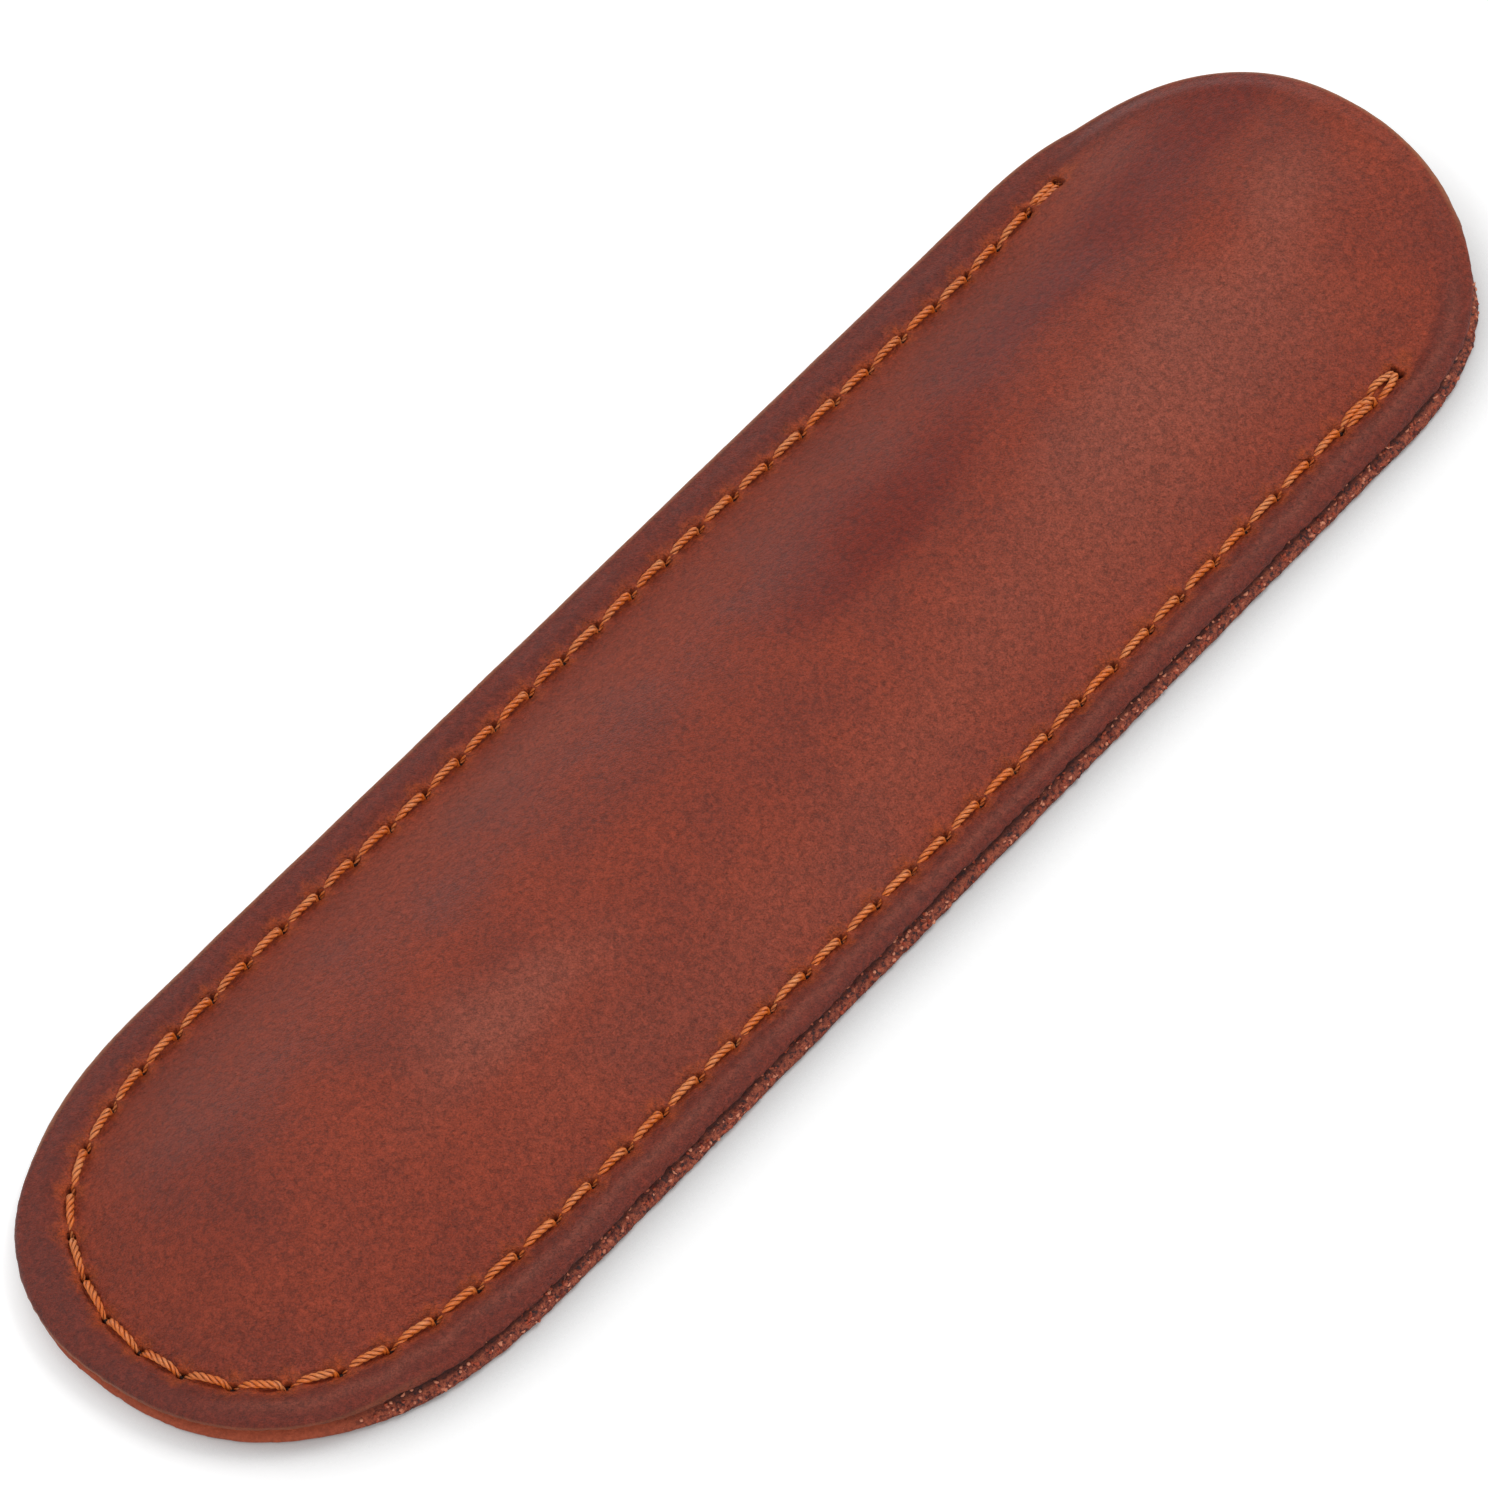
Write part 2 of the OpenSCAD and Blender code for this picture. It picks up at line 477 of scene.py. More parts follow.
def grain_rings(start, height):
    """Rings of a grain side and their marks, from its field's border out to the row at start."""
    rings, marks = [], []
    for inward in across_rows(start)[::-1]:
        across = inward - COLUMN_INSET
        plan = plan_point(inward)
        rings.append(raised(plan, height(plan, across)))
        marks.append(face_marks(across))
    return rings, marks


def add_flesh_rings(rings, marks, outer, past_seam, height):
    """Adds the rings of a flesh side, some at distances in from the edge and the rest past the seam."""
    for inward in (*outer, *(COLUMN_INSET + past for past in past_seam)):
        plan = plan_point(inward)
        rings.append(raised(plan, height(plan)))
        marks.append(PLAIN_MARKS)


def flesh_fuzz(plan, depth, level):
    """Loose fuzz of a flesh side, from where the seam ends to the mouth."""
    return depth * cloud(raised(plan, level), 0.6) * smooth(plan[:, 0], SEAM_TOP_X, SEAM_TOP_X + 3)


def front_flesh_z(plan):
    return JOINT_Z + JOINT_GAP + crown(*plan.T) + flesh_fuzz(plan, 0.03, 2)


def rough_edge(plan, z):
    """How far the torn fibres of a cut edge stand in or out."""
    at = raised(plan, z)
    swings = 0.05 * cloud(at, 2.5) + 0.09 * cloud(at + 9, 0.75)
    crumbs = 0.1 * cloud(at + 21, 0.4) + 0.06 * cloud(at + 33, 0.22)
    # The closed end is burnished smoother than the sides
    torn = 1.0 - 0.5 * closed_share(plan)
    return (0.06 + np.maximum(swings + crumbs, -0.06)) * torn


# Darker and lighter patches of the hide: place, half length, half width and shade. They are partly the hide's
# own tone and partly painted light: painted shade on the +Y slope near the mouth and along the +Y side, a
# painted shadow at (20, 3), and painted sheen on the -Y slope and along the -Y side
TONE_AND_LIGHT_PATCHES = (
    (52, 8, 24, 4.5, -1.0), (20, 3, 12, 4, -1.0), (44, -6, 24, 6, 0.9), (-34, -4, 10, 3, 1.0),
    (-16, 13, 16, 4, 0.5), (-50, -12, 7, 4, -0.4), (68, 12, 6, 7, -0.6), (68, -12, 5, 6, -0.4),
    (-62, 2, 7, 7, -0.3), (64, -2, 6, 4, 0.5), (0, -13, 60, 6, 0.5), (-10, 8, 30, 5, -0.2),
)


def tone_and_painted_light(points):
    """How dark, below 0, or light, above 0, the hide is painted: partly its own tone, partly painted light.
    """
    bent = points[:, :2] + 2.5 * np.stack([cloud(points + 40, 8.0), cloud(points + 70, 8.0)], 1)
    total = np.zeros(len(points))
    for x, y, long, wide, shade in TONE_AND_LIGHT_PATCHES:
        total += shade * np.exp(-(((bent[:, 0] - x) / long) ** 2) - ((bent[:, 1] - y) / wide) ** 2)
    return total


def rim_ridge(points, from_seam, from_hole):
    """1 along a highlight painted on the rim between the seam and the -Y edge. It ends a little past the
    seam.
    """
    bent = from_seam + 0.3 * cloud(points + 55, 2.5)
    patchy = 0.75 + 0.25 * cloud(points + 85, 3.0)
    sewn = 1 - smooth(from_hole, 6, 15)
    return patchy * sewn * bell(bent + 2.1, 0.5) * smooth(-points[:, 1], 5, 14)


def closed_panel(name, rings, marks, rows, fields, materials, faces_up):
    """Joins a panel's rings and its two fields into one solid.

    rows are the last rings of the grain side and of the cut edge. A field has its border ring, the spacing of
    its triangles, its kind of leather (0 is grain, 1 cut edge and 2 flesh) and its height.
    """
    points = [np.concatenate(rings)]
    quads = rings_to_faces(len(rings), COLUMNS)
    faces = [quads if faces_up else quads[:, ::-1]]
    gap = np.repeat(np.arange(len(rings) - 1), COLUMNS)
    kinds = [np.select([gap < rows[0], gap < rows[1]], [0, 1], 2)]
    held = [np.concatenate([np.broadcast_to(mark[i], COLUMNS) for mark in marks]) for i in range(len(MARKS))]
    count = len(points[0])
    for border, spacing, kind, height in fields:
        loop = np.arange(COLUMNS) + border * COLUMNS
        plan, triangles = field_mesh(points[0][loop, :2], spacing)
        inner = plan[COLUMNS:]
        points.append(raised(inner, height(inner)))
        number = np.r_[loop, np.arange(len(inner)) + count]
        looks_up = (border == 0) == faces_up
        faces.append(number[triangles if looks_up else triangles[:, ::-1]])
        kinds.append(np.full(len(triangles), kind))
        count += len(inner)
        held = [np.r_[values, np.full(len(inner), plain)] for values, plain in zip(held, PLAIN_MARKS)]
    everything = [face for group in faces for face in group.tolist()]
    points = np.concatenate(points)
    return build(
        name, points, everything, np.concatenate(kinds), materials,
        **dict(zip(MARKS, held)), shade=tone_and_painted_light(points), ridge=rim_ridge(points, held[1], held[2]),
    )


def front_field_z(plan):
    return LAND_Z + crown(*plan.T) + field_swell(plan)


def front_panel(materials):
    """Rings of the front panel: out from its field, over the crest, down the cut edge and back underneath."""
    rings, marks = grain_rings(FRONT_EDGE + CREST_RADIUS, front_grain_z)
    lift = rings[-1][:, 2]
    for turn in np.radians(CREST_TURNS):
        from_edge = CREST_RADIUS * (1 - math.sin(turn))
        z = lift - CREST_RADIUS * (1 - math.cos(turn))
        nick = rough_edge(EDGE_POINT, z) * smooth(turn, 0.9, 1.5)
        rings.append(raised(plan_point(FRONT_EDGE + from_edge + CREST_ROUGHNESS * nick), z))
        marks.append(crest_marks(turn))
    grain_end = len(rings) - 1
    foot = lift - FRONT_THICKNESS + JOINT_GAP
    for share in np.linspace(0.15, 1, 6):
        z = (lift - CREST_RADIUS) * (1 - share) + foot * share
        rough = FRONT_ROUGHNESS * rough_edge(EDGE_POINT, z)
        rings.append(raised(plan_point(FRONT_EDGE + UNDERCUT * share + rough), z))
        # Painted shade over the front panel's cut edge, under its crest
        marks.append(wall_marks(0.7))
    rows = (grain_end, len(rings) - 1)
    add_flesh_rings(rings, marks, (1.0, 2.0, 3.0), (0, 1.2, 2.2, FIELD_START), front_flesh_z)
    fields = [(0, 0.65, 0, front_field_z), (len(rings) - 1, 1.1, 2, front_flesh_z)]
    return closed_panel("front_leather", rings, marks, rows, fields, materials, faces_up=True)


# The back panel's cut edge from the joint down: distance in from the outline and depth below the joint
BACK_EDGE = (
    (1.3, 0.0), (1.0, 0.07), (0.72, 0.16), (0.46, 0.27), (0.24, 0.4), (0.08, 0.55), (0.0, 0.74), (0.03, 0.92),
    (0.14, 1.08),
)


def back_edge_reach(plan, inward, z):
    """Distance in from the cut line of the back panel's torn edge. It is less rough close to the table."""
    overhang = BACK_OVERHANG * (1 - closed_share(plan))
    return inward - overhang + BACK_ROUGHNESS * rough_edge(plan, z) * smooth(z, 0.0, 0.25)


def back_flesh_z(plan):
    return JOINT_Z - JOINT_GAP + flesh_fuzz(plan, 0.02, 7)


def back_grain_z(plan, across):
    """Height of the back panel's face, which lies on the table, at one row."""
    pucker = (0.03 + 0.03 * cloud(raised(plan, 8), 0.8)) * bell(across, 1.6)
    pulled = 0.55 * thread_groove(across, 0.0) + 0.1 * bell(hole_distance(across), 0.75)
    return pucker + pulled + 0.9 * hole_depth(across)


def back_field_z(plan):
    return np.zeros(len(plan))


def back_panel(materials):
    """Rings of the back panel: out underneath, round its cut edge and in over its flesh side."""
    rings, marks = grain_rings(BACK_RIM, back_grain_z)
    grain_end = len(rings) - 1
    for inward, drop in BACK_EDGE[::-1]:
        z = JOINT_Z - JOINT_GAP - drop
        at = raised(EDGE_POINT, z + 30)
        settle = 0.1 * cloud(at, 0.9) + 0.07 * cloud(at, 0.4)
        settle = settle * smooth(drop, 0, 0.2) * smooth(1.0 - drop, 0, 0.3)
        rings.append(raised(plan_point(back_edge_reach(EDGE_POINT, inward, z)), z + settle))
        # Painted shade on the top of the back panel's cut edge, under the front panel
        marks.append(wall_marks(0.9 * (1 - smooth(drop, 0.08, 0.3))))
    rows = (grain_end, len(rings) - 1)
    add_flesh_rings(rings, marks, (1.2, 2.4), (0, 1.5, FIELD_START), back_flesh_z)
    fields = [(0, 1.2, 0, back_field_z), (len(rings) - 1, 1.2, 2, back_flesh_z)]
    return closed_panel("back_leather", rings, marks, rows, fields, materials, faces_up=False)


# Tubes: thread strands, crumbs and fibres


def tubes(name, centre, right, up, radius, sides, material, **marks):
    """Many closed tubes as one mesh. centre, right and up go by tube and ring, and so does radius."""
    count, rings = radius.shape
    around = np.arange(sides) * 2 * np.pi / sides
    out = np.cos(around)[:, None] * right[:, :, None] + np.sin(around)[:, None] * up[:, :, None]
    points = centre[:, :, None] + radius[:, :, None, None] * out
    first = np.arange(count) * rings * sides
    walls = (rings_to_faces(rings, sides)[None, :, ::-1] + first[:, None, None]).reshape(-1, 4)
    bottoms = (np.arange(sides) + first[:, None]).tolist()
    tops = (np.arange(sides)[::-1] + first[:, None] + (rings - 1) * sides).tolist()
    faces = walls.tolist() + bottoms + tops
    held = {}
    for mark, values in marks.items():
        single = np.ndim(values) == 3
        held[mark] = np.ravel(values) if single else np.reshape(values, (-1, 3))
    return build(name, points.reshape(-1, 3), faces, np.zeros(len(faces)), [material], **held)


def unit(vectors):
    return vectors / (np.linalg.norm(vectors, axis=-1, keepdims=True) + 1e-12)


# The threads


def rise_from(along, ramp):
    """0 at a hole and 1 once the thread lies on the leather."""
    return np.sin(np.pi / 2 * np.clip(along / ramp, 0, 1)) ** 1.5


def stitch_path(stitch, low_z, high_z, leans):
    """The line of one stitch, up out of one hole, along the leather and down the next, and its thickness."""
    first, second, beside_first, beside_second, bow, lift = stitch
    start, end = seam_place(first), seam_place(second)
    chord = end - start
    reach = np.linalg.norm(chord)
    way = chord / reach
    side = np.array([-way[1], way[0]])
    share = crowded(np.linspace(0, 1, STITCH_RINGS))
    along = share * reach
    slowness = ((1 + way[0]) / 2, (1 - way[0]) / 2) if leans else (UPRIGHT, UPRIGHT)
    room = min(reach / 2, SLOW_RISE)
    start_ramp, end_ramp = (STEEP_RISE + (room - STEEP_RISE) * slow for slow in slowness)
    rise = rise_from(along, start_ramp) * rise_from(reach - along, end_ramp)
    z = low_z + (high_z + lift - low_z) * rise
    sideways = beside_first + (beside_second - beside_first) * share + bow * np.sin(np.pi * share)
    plan = start + way * along[:, None] + side * sideways[:, None]
    return np.c_[plan, z], np.broadcast_to(np.r_[side, 0], (STITCH_RINGS, 3)), 0.5 + 0.5 * rise


def thread_line(stitches, low_z, high_z, leans):
    """The whole run of a thread over its stitches, in the order they are sewn."""
    parts = [stitch_path(stitch, low_z, high_z, leans) for stitch in stitches]
    return [np.concatenate(part) for part in zip(*parts)]


def strands(name, line, side, thickness, material):
    """Three strands laid to the right round a thread's line."""
    way = unit(np.gradient(line, axis=0))
    over = unit(np.cross(way, side))
    out = np.cross(over, way)
    run = run_along(line)
    number = np.arange(3)[:, None]
    turn = (2 * np.pi * (run / LAY_LENGTH + number / 3))[..., None]
    outward = np.cos(turn) * out + np.sin(turn) * over
    core = line + LAY_RADIUS * thickness[:, None] * outward
    core_way = unit(np.gradient(core, axis=1))
    right = unit(np.cross(core_way, over))
    up = np.cross(right, core_way)
    radius = STRAND_RADIUS * thickness * (1 + 0.08 * np.sin(run * 3.1 + number * 2))
    around = np.arange(STRAND_SIDES) * 2 * np.pi / STRAND_SIDES
    right_share = (right * outward).sum(-1)[..., None]
    up_share = (up * outward).sum(-1)[..., None]
    facing = np.cos(around) * right_share + np.sin(around) * up_share
    spin = around + (run * 2.2)[:, None]
    lay = np.stack([np.cos(spin), np.sin(spin), np.broadcast_to(run[:, None] / 3, spin.shape)], -1)
    lay = lay + (number * 7)[..., None, None]
    return tubes(name, core, right, up, radius, STRAND_SIDES, material, lay=lay, facing=facing)


def jitter(number):
    """A small sideways wobble, different for each stitch."""
    return 0.05 * math.sin(number * 2.3) + 0.03 * math.sin(number * 5.1)


def single_stitches(first, last):
    """Plain stitches from hole to hole: their two ends along the seam, beside it, bow and lift."""
    return [
        (HOLE_RUN[i], HOLE_RUN[i + 1], jitter(i), jitter(i + 1), 0.0, 0.0)
        for i in range(first, last)
    ]


def top_stitches():
    """The front's stitches. Each end is sewn over again, and at the first hole the two threads stand apart.

    Sideways places and bows are to the left of the way that a stitch is sewn.
    """
    first, second, third = HOLE_RUN[:3]
    last_but_one, last = HOLE_RUN[-2:]
    spread = 0.3
    opening = 0.5
    start = [
        (third, second, spread, spread, 0.0, 0.05),
        (second + 0.5, first, 0.1, 0.0, opening, 0.06),
        (first, second - 0.2, 0.0, 0.1, opening, 0.12),
        (second - 0.5, second + 1.0, 0.5, -0.5, 0.0, 0.3),
        (second, third, spread, spread, 0.0, 0.02),
    ]
    finish = [
        (last_but_one, last, spread, spread, 0.0, 0.0),
        (last, last_but_one, spread, spread, 0.0, 0.06),
    ]
    return start + single_stitches(2, STITCHES - 1) + finish


def under_stitches():
    """The back's stitches, sewn twice over the last two at each end."""
    spread = 0.24
    doubled = [
        (HOLE_RUN[i], HOLE_RUN[i + 1], beside, beside, 0.0, 0.0)
        for i in (0, 1, STITCHES - 2, STITCHES - 1)
        for beside in (-spread, spread)
    ]
    return doubled[:4] + single_stitches(2, STITCHES - 2) + doubled[4:]


# Loose bits of leather and thread

CRUMBS = 2000
EDGE_FIBRES = 800
TUFT_FIBRES = 46
BIT_RINGS = 4
BIT_SIDES = 5
# The middle of a crumb lies this deep in the torn edge
CRUMB_DEPTH = 0.04


def bits(name, centre, way, length, width, bend, material, tone):
    """Short tapered tubes: stout ones are crumbs and thin ones are fibres."""
    share = np.linspace(-0.5, 0.5, BIT_RINGS)
    across = unit(np.cross(way, np.array([0.31, 0.22, 0.93])))
    over = np.cross(across, way)
    sag = (share**2 * 4 - 0.3)[None, :, None] * (bend * length)[:, None, None]
    line = centre[:, None] + way[:, None] * (share[None] * length[:, None])[..., None] + sag * over[:, None]
    taper = np.sqrt(np.clip(1 - (2 * share) ** 2 * 0.93, 0, 1))
    radius = width[:, None] * taper
    right, up = across[:, None], over[:, None]
    held = np.broadcast_to(tone[:, None, None], (len(centre), BIT_RINGS, BIT_SIDES))
    return tubes(name, line, right, up, radius, BIT_SIDES, material, tone=held, facing=np.ones_like(held))


def edge_bits(material):
    """Crumbs and torn fibres on the cut edge of the back panel, most of them along the sides."""
    rng = np.random.default_rng(17)
    count = CRUMBS + EDGE_FIBRES
    stout = np.arange(count) < CRUMBS
    at = rng.integers(0, OUTLINE_POINTS, count)
    drop = np.where(stout, rng.beta(1.2, 1.9, count), rng.beta(1.2, 2.2, count)) * 0.9
    inward, depth = np.array(BACK_EDGE).T
    plan = OUTLINE[at]
    z = JOINT_Z - JOINT_GAP - drop
    reach = back_edge_reach(plan, np.interp(drop, depth, inward), z)
    centre = np.c_[plan + OUTLINE_IN[at] * (reach + CRUMB_DEPTH)[:, None], z]
    along = np.c_[OUTLINE_WAY[at], np.zeros(count)]
    outward = np.c_[-OUTLINE_IN[at], rng.uniform(-0.3, 0.9, count)]
    swing = rng.normal(0, 1, (2, count, 1))
    way = unit(along * swing[0] + outward * swing[1] * 0.35 + rng.normal(0, 0.25, (count, 3)))
    length = np.where(stout, rng.uniform(0.2, 0.5, count), rng.uniform(0.25, 0.6, count))
    width = np.where(stout, rng.uniform(0.07, 0.18, count), rng.uniform(0.012, 0.024, count))
    kept = rng.random(count) > 1.4 * closed_share(plan)
    centre, way, length, width = centre[kept], way[kept], length[kept], width[kept]
    tone = rng.random(kept.sum())
    return bits("edge_crumbs", centre, way, length, width, np.full(len(width), 0.2), material, tone)


def thread_tuft(material):
    """Frayed ends of the thread past the last hole."""
    rng = np.random.default_rng(23)
    hole = np.r_[seam_place(HOLE_RUN[-1]), LAND_Z - 0.05]
    reach = rng.uniform(0.2, 1.5, TUFT_FIBRES)
    centre = hole + np.c_[reach, rng.normal(0, 0.3, TUFT_FIBRES), rng.uniform(-0.1, 0.12, TUFT_FIBRES)]
    way = unit(rng.normal((1.0, 0, 0.1), (0.5, 0.6, 0.2), (TUFT_FIBRES, 3)))
    length = rng.uniform(0.3, 0.9, TUFT_FIBRES)
    width = np.full(TUFT_FIBRES, 0.014)
    bend = rng.uniform(-0.2, 0.3, TUFT_FIBRES)
    return bits("thread_tuft", centre, way, length, width, bend, material, rng.random(TUFT_FIBRES))


# Materials


def colour(code):
    """A screen colour such as #83463a as the linear values that Blender's sockets take."""
    parts = [int(code[i:i + 2], 16) / 255 for i in (1, 3, 5)]
    linear = [p / 12.92 if p <= 0.04045 else ((p + 0.055) / 1.055) ** 2.4 for p in parts]
    return (*linear, 1.0)


def add(tree, kind, values=(), **settings):
    """A shader node. values are its inputs by name or number: a socket is linked and anything else is set."""
    node = tree.nodes.new("ShaderNode" + kind)
    for name, value in settings.items():
        setattr(node, name, value)
    for name, value in dict(values).items():
        if isinstance(value, bpy.types.NodeSocket):
            tree.links.new(value, node.inputs[name])
        else:
            node.inputs[name].default_value = value
    return node


def math_node(tree, operation, *values):
    return add(tree, "Math", dict(enumerate(values)), operation=operation).outputs[0]


def times(tree, value, share):
    return math_node(tree, "MULTIPLY", value, share)


def scaled(tree, vector, scale):
    """A place or a colour with all its parts multiplied by one value."""
    return add(tree, "VectorMath", {0: vector, "Scale": scale}, operation="SCALE").outputs[0]


def step(tree, value, low, high, start=0.0, end=1.0):
    """A soft step from start to end as the value goes from low to high."""
    values = {"Value": value, "From Min": low, "From Max": high, "To Min": start, "To Max": end}
    return add(tree, "MapRange", values, interpolation_type="SMOOTHSTEP").outputs[0]


def fade(tree, value, low, high):
    """1 below low, 0 above high, and a soft step between."""
    return step(tree, value, low, high, 1.0, 0.0)


def tint(tree, share, under, over):
    """One colour laid over another."""
    return add(tree, "Mix", {0: share, 6: under, 7: over}, data_type="RGBA").outputs[2]


def painted(tree, base, *coats):
    """A base with coats of colour over one another, each with its own share."""
    for share, code in coats:
        base = tint(tree, share, base, colour(code))
    return base


def blend(tree, *parts):
    """The sum of some values, each with its own share."""
    total = 0.0
    for value, share in parts:
        total = math_node(tree, "MULTIPLY_ADD", value, share, total)
    return total


def object_place(tree, size_mm):
    """The place on the object, in units of this many millimetres."""
    return scaled(tree, add(tree, "TexCoord").outputs["Object"], 1 / (size_mm * MM))


def noise(tree, place, scale, detail=2.0, roughness=0.5):
    values = {"Vector": place, "Scale": scale, "Detail": detail, "Roughness": roughness}
    return add(tree, "TexNoise", values).outputs["Fac"]


def cells(tree, place, scale, feature):
    values = {"Vector": place, "Scale": scale}
    return add(tree, "TexVoronoi", values, feature=feature).outputs["Distance"]


def mark(tree, name):
    return add(tree, "Attribute", attribute_name=name).outputs["Fac"]


def new_group(name, inputs, outputs):
    """A node group with named number inputs and outputs."""
    group = bpy.data.node_groups.new(name, "ShaderNodeTree")
    for label, value in inputs.items():
        socket = group.interface.new_socket(label, in_out="INPUT", socket_type="NodeSocketFloat")
        socket.default_value = value
    for label in outputs:
        group.interface.new_socket(label, in_out="OUTPUT", socket_type="NodeSocketFloat")
    entry = group.nodes.new("NodeGroupInput")
    exit_node = group.nodes.new("NodeGroupOutput")
    return group, entry.outputs, exit_node.inputs


def use(tree, group, **values):
    """A node group placed in a material with its own values."""
    node = tree.nodes.new("ShaderNodeGroup")
    node.node_tree = group
    for name, value in values.items():
        node.inputs[name].default_value = value
    return node.outputs


def scaled_place(group, size):
    """Object place divided by a size input in millimetres."""
    scale = math_node(group, "DIVIDE", 1 / MM, size)
    return scaled(group, add(group, "TexCoord").outputs["Object"], scale)


def feed(tree, sockets, **values):
    """Links values to the sockets of these names: a shader's inputs, or a group's outputs."""
    for name, value in values.items():
        tree.links.new(value, sockets[name.replace("_", " ")])


def grain_group():
    """Pebbles, short creases and pores of a smooth hide."""
    group, given, made = new_group("hide_grain", {"Pebble": 0.6}, ["Height", "Tone"])
    place = scaled_place(group, given["Pebble"])
    warp = add(group, "TexNoise", {"Vector": place, "Scale": 0.9, "Detail": 2.0}).outputs["Color"]
    bent = add(group, "VectorMath", {0: place, 1: warp}, operation="ADD").outputs[0]
    pebble = cells(group, bent, 1.0, "SMOOTH_F1")
    crease = cells(group, bent, 0.55, "DISTANCE_TO_EDGE")
    dome = fade(group, pebble, 0.1, 0.8)
    fold = step(group, crease, 0.0, 0.14)
    fine = noise(group, place, 2.6, 3.0, 0.6)
    height = blend(group, (dome, 0.4), (fold, 0.1), (fine, 0.7))
    # Tone follows the height: in the hide's colour, pebble tops are lighter and creases darker, painted
    # highlight and shade
    feed(group, made, Height=height, Tone=step(group, height, 0.35, 1.0))
    return group


def wrinkle_group():
    """Fine wrinkles that run one way across the hide. Turn is in degrees from the sleeve's length."""
    group, given, made = new_group("fine_wrinkles", {"Wrinkle": 0.5, "Turn": 38.0}, ["Height"])
    place = scaled_place(group, given["Wrinkle"])
    angle = math_node(group, "RADIANS", given["Turn"])
    values = {"Vector": place, "Angle": angle}
    turned = add(group, "VectorRotate", values, rotation_type="Z_AXIS").outputs[0]
    values = {0: turned, 1: (1.0, 3.6, 3.6)}
    drawn = add(group, "VectorMath", values, operation="MULTIPLY").outputs[0]
    long_ones = noise(group, drawn, 1.0, 3.0, 0.6)
    breaks = noise(group, place, 0.35, 2.0, 0.5)
    feed(group, made, Height=times(group, long_ones, step(group, breaks, 0.3, 0.6, 0.8, 1.0)))
    return group


def mottle_group():
    """Slow changes of the dye, from patches down to flecks."""
    group, given, made = new_group("dye_mottle", {"Patch": 9.0}, ["Tone", "Fleck", "Speck"])
    place = scaled_place(group, given["Patch"])
    patch = step(group, noise(group, place, 1.0, 4.0, 0.55), 0.3, 0.7)
    fleck = step(group, noise(group, place, 15.0, 3.0, 0.75), 0.35, 0.7)
    speck = step(group, noise(group, place, 60.0, 2.0, 0.8), 0.3, 0.7)
    feed(group, made, Tone=patch, Fleck=fleck, Speck=speck)
    return group


def fibre_group():
    """Torn fibres of cut or split leather."""
    group, given, made = new_group("loose_fibre", {"Fibre": 0.3}, ["Height", "Tone", "Pit"])
    place = scaled_place(group, given["Fibre"])
    coarse = noise(group, place, 0.8, 4.0, 0.65)
    fine = noise(group, place, 2.7, 3.0, 0.7)
    height = blend(group, (coarse, 0.6), (fine, 0.4))
    # Tone paints the raised fibres lighter, a painted highlight; Pit paints the low places darker, a painted
    # shade
    tone = step(group, height, 0.42, 0.66)
    feed(group, made, Height=height, Tone=tone, Pit=fade(group, coarse, 0.36, 0.5))
    return group


def seam_group():
    """Where the seam has worked the leather: a haze by its holes and stitches, creases, and the rim."""
    group, given, made = new_group("seam_pull", {"Reach": 1.7}, ["Haze", "Crease", "Rim"])
    from_hole = mark(group, "from_hole")
    from_seam = mark(group, "from_seam")
    place = object_place(group, 1.0)
    ragged = math_node(group, "SUBTRACT", noise(group, place, 1.4, 3.0, 0.65), 0.5)
    ragged = times(group, ragged, 2.3)
    near_hole = fade(group, math_node(group, "ADD", from_hole, ragged), 0.2, given["Reach"])
    beside = math_node(group, "ADD", math_node(group, "ABSOLUTE", from_seam), ragged)
    near_thread = times(group, step(group, beside, 0.2, 1.0, 0.6, 0.0), fade(group, from_hole, 2.1, 3.2))
    haze = math_node(group, "MAXIMUM", near_hole, near_thread)
    crease = times(group, noise(group, place, 3.2, 2.0, 0.6), fade(group, from_hole, 0.3, 1.8))
    rim = times(group, fade(group, from_seam, -1.4, -0.4), fade(group, from_hole, 5.0, 20.0))
    feed(group, made, Haze=haze, Crease=crease, Rim=rim)
    return group


def new_material(name, roughness):
    material = bpy.data.materials.new(name)
    material.use_nodes = True
    tree = material.node_tree
    shader = tree.nodes["Principled BSDF"]
    shader.inputs["Roughness"].default_value = roughness
    return material, tree, shader


def bump(tree, height, depth_mm, under=None):
    """A normal from a height. depth_mm is the relief's real depth."""
    values = {"Height": height, "Distance": depth_mm * MM, "Strength": 1.0}
    if under is not None:
        values["Normal"] = under
    return add(tree, "Bump", values).outputs["Normal"]


def shaded(tree, base, textures):
    """A colour made lighter and darker by textures between 0 and 1, each with its own share."""
    middle = 1 - sum(share for _, share in textures) / 2
    level = math_node(tree, "ADD", blend(tree, *textures), middle)
    return scaled(tree, base, level)


